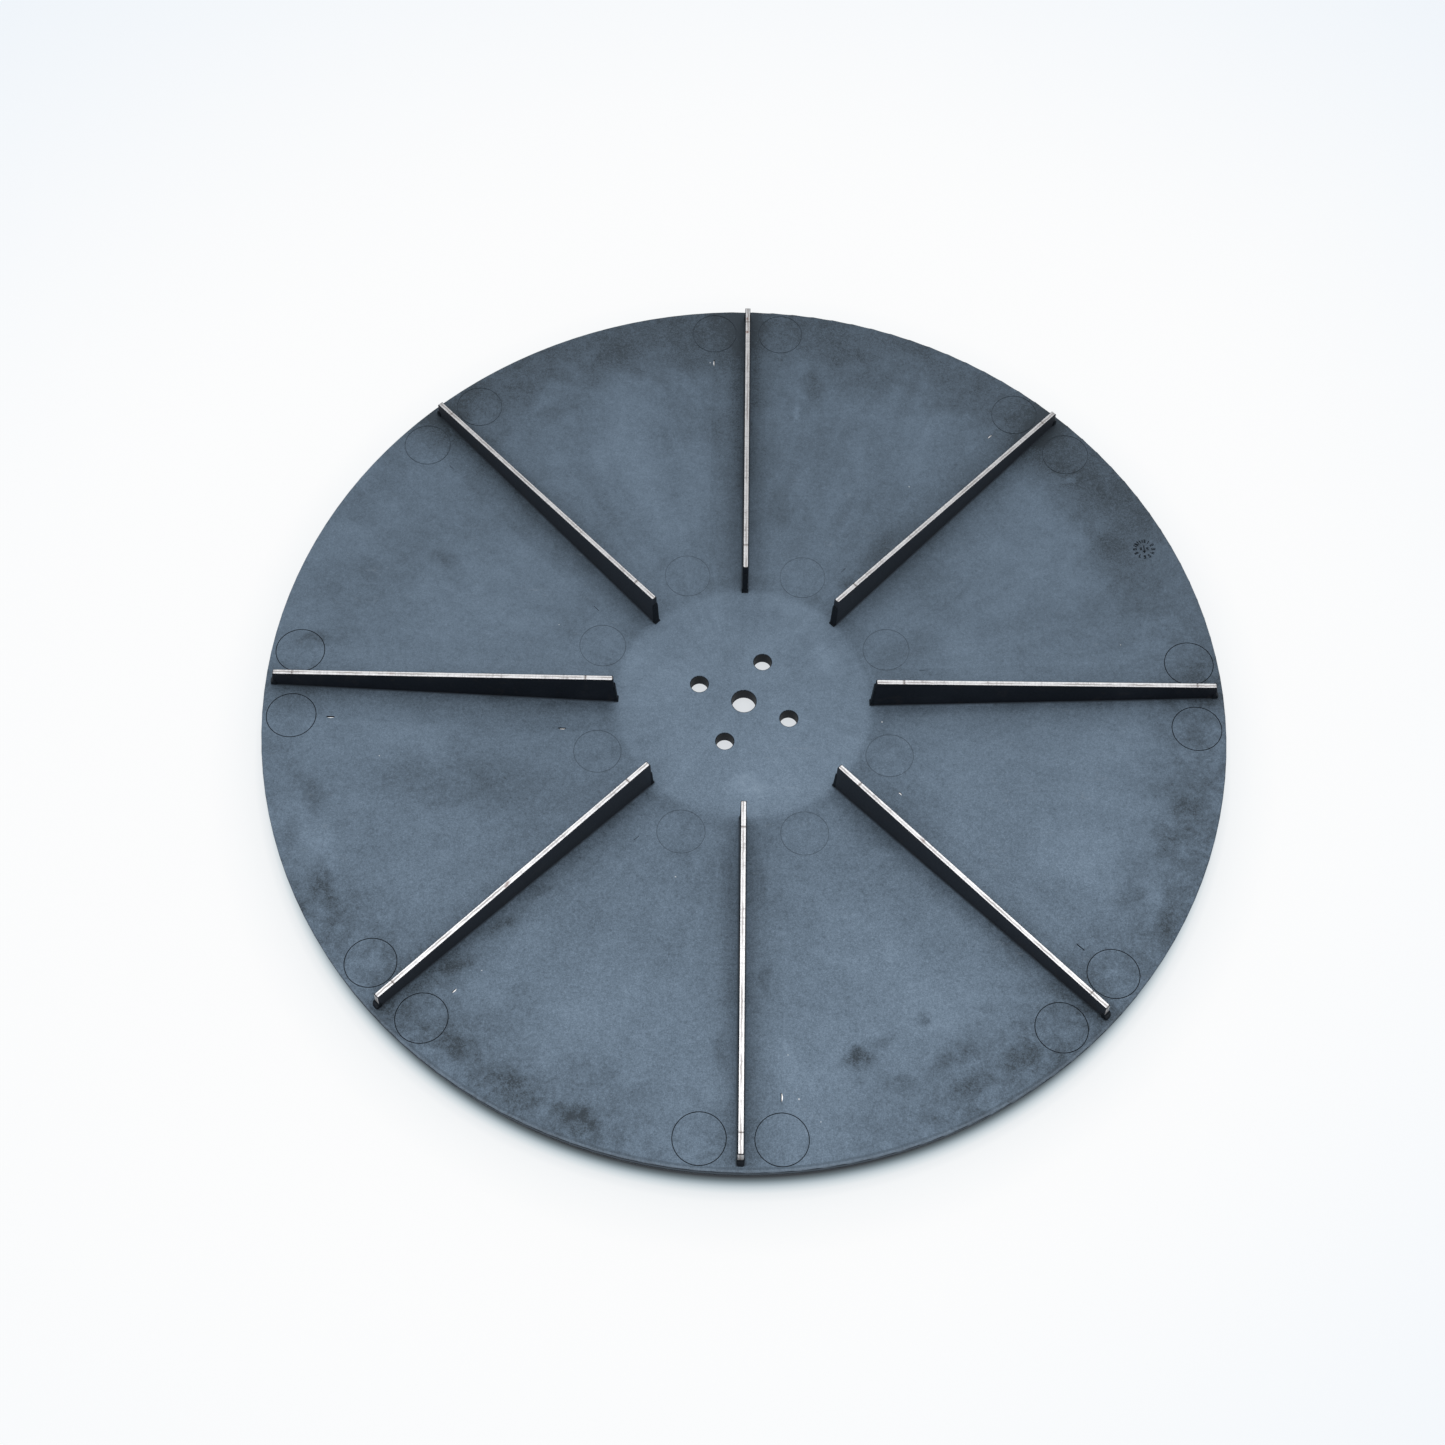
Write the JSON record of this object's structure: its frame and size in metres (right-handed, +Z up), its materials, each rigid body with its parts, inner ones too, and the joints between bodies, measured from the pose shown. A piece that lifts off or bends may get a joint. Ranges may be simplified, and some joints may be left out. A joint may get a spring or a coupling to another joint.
{
  "type": "spreader disc",
  "caption": "Shallow dished plastic disc with upright radial steel vanes, a central hole and a ring of bolt holes, for flinging granular material outward.",
  "frame": {"origin": "centre of the hub's flat underside, on the spin axis", "axes": "+Z up along the spin axis, away from the seat; +X along the first vane; the vanes stand at every eighth of a turn, and the bolt holes are midway between vanes"},
  "size_m": [0.35, 0.35, 0.0236],
  "materials": {
    "disc_plastic": "satin moulded, slightly mottled",
    "vane_steel": "dark rolled faces with bright cut edges"
  },
  "bodies": {
    "root": {"spreader_disc": "disc_plastic", "vane_1": "vane_steel", "vane_2": "vane_steel", "vane_3": "vane_steel", "vane_4": "vane_steel", "vane_5": "vane_steel", "vane_6": "vane_steel", "vane_7": "vane_steel", "vane_8": "vane_steel"}
  },
  "joints": []
}
